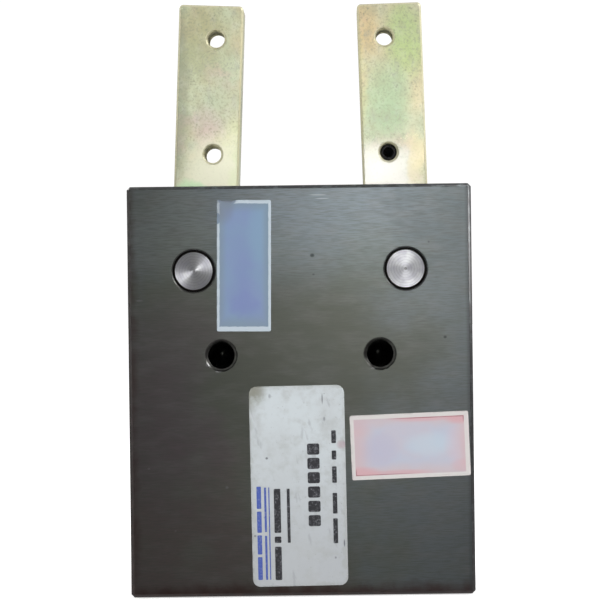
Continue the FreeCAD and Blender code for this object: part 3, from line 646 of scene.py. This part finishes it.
def red_film(size):
    """Faded red sticker: white margin, red bleeding in from the edges of a pale lavender field."""
    s = FilmSurface("faded_red_film", size)
    smoke = s.noise(0.2, detail=3.0, shift=33.0)
    field = s.mix(s.level(smoke, 0.35, 0.65), (0.405, 0.430, 0.515), (0.435, 0.420, 0.485))
    field = s.mix(s.maths("MULTIPLY", s.blot(15.0, 6.2, 6.0, 2.8), 0.6), field, (0.415, 0.505, 0.575))
    field = s.mix(s.maths("MULTIPLY", s.blot(5.4, 5.4, 4.4, 4.2), 0.4), field, (0.36, 0.355, 0.49))
    field = s.mix(s.maths("MULTIPLY", s.blot(21.5, 6.0, 4.4, 6.0), 0.5), field, (0.53, 0.40, 0.45))
    wander = s.level(smoke, 0.3, 0.7, -0.7, 0.7)
    bleed = s.level(s.maths("ADD", s.from_edges(1.6), wander), 3.3, 0.8, 0.0, 0.6)
    field = s.mix(bleed, field, (0.50, 0.385, 0.385))
    field = s.tinted(field, s.across, s.up, [(*pink, (0.56, 0.29, 0.31)) for pink in PINKS])
    printed_edge = s.from_edges(0.72, 0.85, 0.74, 0.80)
    line = s.maths("MULTIPLY", s.level(printed_edge, 1.0, 1.08), s.level(printed_edge, 1.32, 1.16))
    stretches = s.maths("MAXIMUM", s.blot(17.0, 11.4, 11.0, 1.6), s.blot(3.0, 0.8, 10.0, 1.6))
    shown = s.maths("MULTIPLY", line, s.maths("MULTIPLY", stretches, s.level(smoke, 0.3, 0.6, 0.6, 1.0)))
    field = s.mix(s.maths("MULTIPLY", shown, 0.9), field, (0.25, 0.09, 0.11))
    margin = s.level(printed_edge, 1.05, 0.95)
    pale = s.mix(s.level(smoke, 0.4, 0.7, 0.0, 0.5), (0.555, 0.535, 0.52), (0.54, 0.475, 0.485))
    s.set(Base_Color=s.mix(margin, field, pale))
    s.set(Roughness=s.level(smoke, 0.3, 0.7, 0.34, 0.5))
    s.set(Normal=s.bump(smoke, 0.015))
    return s.material


# ================================ machined pieces ================================
body_low, body_high = millimetres("body")
front, back = body_low.y, body_high.y


def hole_places(mount_name):
    """Centre of every hole of a line or rectangle pattern."""
    mount = MOUNTS[mount_name]
    centre, axis = Vector(mount["pos_m"]) / MM, Vector(mount["axis"])
    along = [a for a in (X, Y, Z) if abs(a.dot(axis)) < 0.5]
    steps = (mount["dims"].get("spacing_x_mm", 0.0), mount["dims"].get("spacing_y_mm", 0.0))
    places = []
    for i in (-0.5, 0.5) if steps[0] else (0.0,):
        for j in (-0.5, 0.5) if steps[1] else (0.0,):
            places.append(centre + along[0] * (steps[0] * i) + along[1] * (steps[1] * j))
    return places


# small dents along the body's edges: (x, y, z, radius)
NICKS = (
    (-32.75, -25.1, 55.2, 0.85), (-32.7, -25.05, 47.0, 0.75), (-32.8, -25.15, 21.5, 0.6),
    (32.75, -25.1, 18.0, 0.6), (-11.0, -25.2, 77.75, 0.5), (14.5, 25.1, 77.8, 0.7),
    (32.75, 25.1, 39.0, 0.8), (-32.8, 25.1, 66.0, 0.6),
)


# a thread starts this far inside its mouth, and how deep each goes from there
TAP_LEAD, PORT_LEAD, FINGER_LEAD = 0.2, 0.4, 0.15
M6_DEPTH, M5_DEPTH, PORT_DEPTH = 11.5, 10.5, 8.0


def cut_body():
    """The block with real screw threads in its mounting holes and ports, and a few dented edges."""
    taps = bmesh.new()
    for place in hole_places("front_mount_holes"):
        add_tap(taps, M6, Vector((place.x, front + TAP_LEAD, place.z)), Y, M6_DEPTH)
    for place in hole_places("back_mount_holes"):
        add_tap(taps, M6, Vector((place.x, back - TAP_LEAD, place.z)), -Y, M6_DEPTH)
    for place in hole_places("base_mount_holes"):
        add_tap(taps, M5, Vector((place.x, place.y, body_low.z + TAP_LEAD)), Z, M5_DEPTH)
    for name in ("open_air_port", "close_air_port"):
        centre = Vector(MOUNTS[name]["pos_m"]) / MM
        mouth = Vector((body_high.x - PORT_LEAD, centre.y, centre.z))
        add_tap(taps, G_EIGHTH, mouth, -X, PORT_DEPTH, segments=56)
    for x, y, z, radius in NICKS:
        at = Matrix.Translation((x, y, z))
        bmesh.ops.create_icosphere(taps, subdivisions=2, radius=radius, matrix=at)
    return machined("body", taps, "body_block")


def finger_hole_places(word):
    """Centres of a finger's two tapped holes, upper first, from the pivot and the jaw's lean."""
    side = -1 if word == "left" else 1
    lean = math.radians(JAW_LEAN[word])
    places = []
    for height in FINGER_HOLE_HEIGHTS:
        across = FINGER_HOLE_OFFSET * math.cos(lean) + height * math.sin(lean)
        up = height * math.cos(lean) - FINGER_HOLE_OFFSET * math.sin(lean)
        places.append(Vector((side * (PIVOT_X - across), 0, PIVOT_Z + up)))
    return places


def cut_jaw(word):
    """A jaw with real M4 threads in its finger holes."""
    taps = bmesh.new()
    low, high = millimetres(word + "_jaw")
    for at in finger_hole_places(word):
        mouth = Vector((at.x, low.y + FINGER_LEAD, at.z))
        add_tap(taps, M4, mouth, Y, high.y - low.y - 2 * FINGER_LEAD, segments=32)
    return machined(word + "_jaw", taps, word + "_jaw_cut")


def turned_pin(word):
    """A pivot pin whose end faces carry real turning rings and a centre mark."""
    low, high = millimetres("pivot_pin_" + word)
    radius = (high.x - low.x) / 2
    chamfer, rings, points_per_ring, depth, segments = 0.45, 7, 4, 0.003, 96
    mark_radius, mark_slope = 0.3, 0.35
    face_radius = radius - chamfer
    points = rings * points_per_ring
    end = []
    for i in range(points):
        r = face_radius * i / points
        wave = 0.5 - 0.5 * math.cos(2 * math.pi * i / points_per_ring)
        centre_mark = max(0.0, mark_radius - r) * mark_slope
        end.append((r, depth * wave + centre_mark))
    length = high.y - low.y
    side = [(face_radius, 0.0), (radius, chamfer), (radius, length - chamfer), (face_radius, length)]
    profile = end + side + [(r, length - height) for r, height in reversed(end)]
    centre = (low + high) / 2
    bm = bmesh.new()
    revolve(bm, profile, Vector((centre.x, low.y, centre.z)), Y, segments)
    bmesh.ops.recalc_face_normals(bm, faces=bm.faces)
    return finish_mesh(bm, "turned_pin_" + word, 25.0)


# ================================ films on the front face ================================
FILM_MATERIAL = {"type_label": label_film, "blue_sticker": blue_film, "red_sticker": red_film}


def film_size(node):
    """(centre, width, height) of a turned rectangle from its box and its turn."""
    low, high = millimetres(node)
    turn = math.radians(abs(FILM_TURN[node]))
    box_width, box_height = high.x - low.x, high.z - low.z
    width = (box_width * math.cos(turn) - box_height * math.sin(turn)) / math.cos(2 * turn)
    height = (box_height * math.cos(turn) - box_width * math.sin(turn)) / math.cos(2 * turn)
    return (low + high) / 2, width, height


def film_place(node):
    """Carries (across, out, up) in millimetres from the film's lower left corner into the frame."""
    centre, width, height = film_size(node)
    from_corner = Matrix.Translation((-width / 2, 0, -height / 2))
    turned = Matrix.Rotation(-math.radians(FILM_TURN[node]), 4, "Y")
    return Matrix.Translation((centre.x, front, centre.z)) @ turned @ from_corner


# a torn stretch deepens over so many millimetres, and pulls the film down this far below its top
TEAR_SLOPE, TEAR_REACH = 0.5, 1.6
# the height of a film's ripples, and how far its edges lift, over how wide a strip
RIPPLE, EDGE_LIFT, LIFT_REACH = 0.012, 0.035, 0.5


def round_corner(across, up, width, height, corner):
    """A point near a sharp corner of a sheet pulled in onto the corner's arc."""
    half = Vector((width / 2, height / 2))
    local = Vector((across - half.x, up - half.y))
    past_x = max(0.0, abs(local.x) - half.x + corner)
    past_y = max(0.0, abs(local.y) - half.y + corner)
    past = Vector((past_x, past_y))
    if past.length > corner:
        pulled = past * (corner / past.length)
        local.x -= math.copysign(past.x - pulled.x, local.x)
        local.y -= math.copysign(past.y - pulled.y, local.y)
    return local.x + half.x, local.y + half.y


def tear_top(across, up, height, torn):
    """How high a point lies once the torn stretches of the top edge have sunk."""
    for start, end, bite in torn:
        inside = max(0.0, min(1.0, (across - start) / TEAR_SLOPE, (end - across) / TEAR_SLOPE))
        ragged = 0.7 + 0.6 * noise.noise(Vector((across * 1.7, 0, 4.2)))
        up -= inside * bite * ragged * max(0.0, 1 - (height - up) / TEAR_REACH)
    return up


def stand_off(across, up, width, height):
    """How far a film's skin stands out beyond its thickness: faint ripples and lifted edges."""
    edge = min(across, width - across, up, height - up)
    ripple = noise.noise(Vector((across * 0.35, 1.5, up * 0.3)))
    curl = max(0.0, noise.noise(Vector((across * 0.5, 8, up * 0.5))))
    return RIPPLE * ripple + EDGE_LIFT * max(0.0, 1 - edge / LIFT_REACH) * curl


def film(node, name, corner, cell=0.35, torn=()):
    """A thin film: rounded corners, faint ripples, edges that lift a little, and torn stretches."""
    _, width, height = film_size(node)
    place = film_place(node)
    columns, rows = round(width / cell), round(height / cell)
    bm = bmesh.new()
    uv = bm.loops.layers.uv.new("film")
    grid, flat = [], {}
    for row in range(rows + 1):
        line = []
        for column in range(columns + 1):
            across, up = width * column / columns, height * row / rows
            across, up = round_corner(across, up, width, height, corner)
            up = tear_top(across, up, height, torn)
            out = FILM_THICK + stand_off(across, up, width, height)
            vert = bm.verts.new(place @ Vector((across, -out, up)))
            flat[vert] = (across / width, up / height)
            line.append(vert)
        grid.append(line)
    for lower, upper in zip(grid, grid[1:]):
        for i in range(columns):
            bm.faces.new((lower[i], lower[i + 1], upper[i + 1], upper[i]))
    bmesh.ops.remove_doubles(bm, verts=bm.verts, dist=1e-5)
    for face in bm.faces:
        for loop in face.loops:
            loop[uv].uv = flat.get(loop.vert, (0, 0))
    mesh = finish_mesh(bm, name, 40.0)
    material = FILM_MATERIAL[node]((width, height))
    made = piece(name, mesh, "housing", material, [node])
    thick = made.modifiers.new("thickness", "SOLIDIFY")
    thick.thickness = FILM_THICK * MM * 0.95
    thick.offset = -1
    return made


# how much of a printed bar's narrow side each rounded corner takes
BAR_ROUNDING = 0.16


def bar(bm, place, across, up, width, length, proud=0.03):
    """A flat printed bar with rounded corners, standing a hair proud of the film."""
    radius = min(width, length) * BAR_ROUNDING
    outline = []
    for sx, sz, start in ((1, -1, -90), (1, 1, 0), (-1, 1, 90), (-1, -1, 180)):
        for step in range(4):
            angle = math.radians(start + 30 * step)
            x = across + sx * (width / 2 - radius) + radius * math.cos(angle)
            z = up + sz * (length / 2 - radius) + radius * math.sin(angle)
            outline.append((x, z))
    lower = [bm.verts.new(place @ Vector((x, -FILM_THICK + 0.01, z))) for x, z in outline]
    upper = [bm.verts.new(place @ Vector((x, -FILM_THICK - proud, z))) for x, z in outline]
    bm.faces.new(upper)
    for i in range(len(outline)):
        j = (i + 1) % len(outline)
        bm.faces.new((lower[i], lower[j], upper[j], upper[i]))


def print_rows(name, rows, material):
    """Rows of plain bars that stand for printed lines: (across, width, start, bar and gap lengths)."""
    place = film_place("type_label")
    bm = bmesh.new()
    for across, width, start, lengths in rows:
        up = start
        for i, length in enumerate(lengths):
            if i % 2 == 0:
                bar(bm, place, across, up + length / 2, width, length)
            up += length
    bmesh.ops.recalc_face_normals(bm, faces=bm.faces)
    piece(name, finish_mesh(bm, name), "housing", material)


# ================================ assembly ================================
def build():
    """Pieces with finer shapes than the CAD's, then the finish of every node that stays."""
    piece("body_block", cut_body(), "housing", ground_dark_metal(), ["body"])
    zinc = yellow_zinc()
    bright = turned_face_steel()
    for word in ("left", "right"):
        jaw, pin = word + "_jaw", "pivot_pin_" + word
        piece(word + "_jaw_cut", cut_jaw(word), word + "_jaw_group", zinc, [jaw])
        piece("turned_pin_" + word, turned_pin(word), "housing", bright, [pin])
    film("type_label", "label_sheet", 1.5)
    film("blue_sticker", "blue_sticker_sheet", 0.25, torn=((0.5, 3.6, 0.22),))
    film("red_sticker", "red_sticker_sheet", 0.25)
    print_rows("label_print_blue", [
        (1.45, 0.85, 1.3, (4.3, 0.5, 3.6, 0.5, 4.0, 0.5, 4.2)),
        (2.65, 0.40, 1.3, (8.3, 0.7, 8.4)),
        (3.35, 0.20, 1.3, (17.4,)),
    ], ink("blue_ink", (0.05, 0.09, 0.36)))
    print_rows("label_print_dark", [
        (4.9, 1.25, 1.2, (6.3, 0.7, 1.2, 0.7, 8.3)),
        (7.0, 0.55, 8.2, (10.2,)),
        (11.9, 2.3, 11.2, (2.1, 0.6, 2.1, 0.6, 2.1, 0.6, 2.1, 0.6, 2.1, 0.6, 2.1)),
        (15.8, 0.85, 7.9, (4.7, 0.9, 3.9, 1.9, 3.1, 1.3, 1.7, 1.4, 2.4)),
    ], ink("dark_ink", (0.025, 0.025, 0.03)))
    dress_inner_nodes()


def dress_inner_nodes():
    """Every CAD node that stays gets the finish of its record slot."""
    finishes = {
        "plain_aluminium": turned_aluminium(),
        "seal_rubber": soft("nitrile_rubber", (0.016, 0.016, 0.017), 0.55),
        "black_steel": black_oxide(),
        "urethane": soft("cast_urethane", (0.42, 0.29, 0.09), 0.35),
        "bronze": bronze(),
        "bright_steel": ground_rod_steel(),
        "guide_plastic": soft("machined_acetal", (0.72, 0.70, 0.63), 0.45),
    }
    for name, node in nodes.items():
        finish = finishes.get(SLOT_OF[name])
        if finish is not None and not node.hide_render:
            node.data.materials.clear()
            node.data.materials.append(finish)


# ================================ stage, light and view ================================
FLOOR_REACH, FLOOR_DROP = 6000.0, 0.2


def make_floor():
    """A plain pale floor just under the part; from below it lets the view through."""
    bm = bmesh.new()
    bmesh.ops.create_grid(bm, x_segments=2, y_segments=2, size=FLOOR_REACH)
    mesh = finish_mesh(bm, "floor")
    floor = bpy.data.objects.new("floor", mesh)
    bpy.context.scene.collection.objects.link(floor)
    floor.location.z = -FLOOR_DROP * MM
    floor.visible_glossy = False
    s = Surface("pale_floor", Base_Color=(0.9, 0.9, 0.9, 1), Roughness=0.9)
    s.set(Emission_Color=(1, 1, 1, 1), Emission_Strength=0.6)
    s.set(Alpha=s.maths("SUBTRACT", 1.0, s.add("NewGeometry").outputs["Backfacing"]))
    mesh.materials.append(s.material)


# the world's strength for reflections in front of the part and elsewhere, for diffuse light, and to the eye
GLOSS_AHEAD, GLOSS_AROUND, DIFFUSE_WHITE, CAMERA_WHITE = 0.08, 0.45, 0.62, 1.05


def make_world():
    """White to the eye, even for diffuse light, and for reflections dimmer in front of the part."""
    world = bpy.data.worlds.new("studio")
    bpy.context.scene.world = world
    world.use_nodes = True
    tree = world.node_tree
    tree.nodes.clear()

    def add(kind, **settings):
        made = tree.nodes.new("ShaderNode" + kind)
        for name, value in settings.items():
            setattr(made, name, value)
        return made

    ray = add("LightPath")
    direction = add("SeparateXYZ")
    tree.links.new(add("TexCoord").outputs["Generated"], direction.inputs[0])
    ahead = add("MapRange", interpolation_type="SMOOTHSTEP")
    spread = {"From Min": -0.98, "From Max": -0.55, "To Min": GLOSS_AHEAD, "To Max": GLOSS_AROUND}
    for socket, value in spread.items():
        ahead.inputs[socket].default_value = value
    tree.links.new(direction.outputs["Y"], ahead.inputs["Value"])
    strength = None
    levels = ((ray.outputs["Is Glossy Ray"], ahead.outputs[0]), (ray.outputs["Is Camera Ray"], CAMERA_WHITE))
    for switch, level in levels:
        pick = add("Mix", data_type="FLOAT")
        tree.links.new(switch, pick.inputs[0])
        if strength is None:
            pick.inputs[2].default_value = DIFFUSE_WHITE
        else:
            tree.links.new(strength, pick.inputs[2])
        if isinstance(level, float):
            pick.inputs[3].default_value = level
        else:
            tree.links.new(level, pick.inputs[3])
        strength = pick.outputs[0]
    background = add("Background")
    background.inputs["Color"].default_value = (1, 1, 1, 1)
    tree.links.new(strength, background.inputs["Strength"])
    tree.links.new(background.outputs[0], add("OutputWorld").inputs["Surface"])


def add_lamp(name, place, target, size, power, colour=(1, 1, 1)):
    """A soft disc lamp at a place in millimetres, facing its target."""
    data = bpy.data.lights.new(name, "AREA")
    data.shape = "DISK"
    data.size = size * MM
    data.energy = power
    data.color = colour
    lamp = bpy.data.objects.new(name, data)
    lamp.location = Vector(place) * MM
    aim = Vector(target) - Vector(place)
    lamp.rotation_mode = "QUATERNION"
    lamp.rotation_quaternion = aim.to_track_quat("-Z", "Y")
    bpy.context.scene.collection.objects.link(lamp)
    return lamp


def make_lights():
    """A small lamp just above the lens, a soft key, a lamp behind on the left and one on the right."""
    centre = (0, 0, 50)
    add_lamp("near_lens", (26, front - VIEW_DISTANCE, 106), centre, 42, 0.105)
    key = add_lamp("key", (260, -420, 520), centre, 300, 1.2)
    key.visible_glossy = False
    add_lamp("rear_left", (-420, 520, 380), centre, 360, 1.4)
    add_lamp("right_side", (560, -60, 420), centre, 360, 1.6)


def make_camera():
    """A long lens square to the front face: it stands right of the middle and is shifted back to it."""
    data = bpy.data.cameras.new("camera")
    data.sensor_width = SENSOR
    data.lens = SENSOR * VIEW_DISTANCE / VIEW_FIELD
    data.shift_x = -VIEW_X / VIEW_FIELD
    data.clip_start, data.clip_end = 0.01, 20
    camera = bpy.data.objects.new("camera", data)
    camera.location = (VIEW_X * MM, (front - VIEW_DISTANCE) * MM, VIEW_Z * MM)
    camera.rotation_euler = (math.radians(90), math.radians(VIEW_ROLL), 0)
    bpy.context.scene.collection.objects.link(camera)
    bpy.context.scene.camera = camera


build()
make_floor()
make_world()
make_lights()
make_camera()
bpy.context.scene.view_settings.view_transform = "Standard"
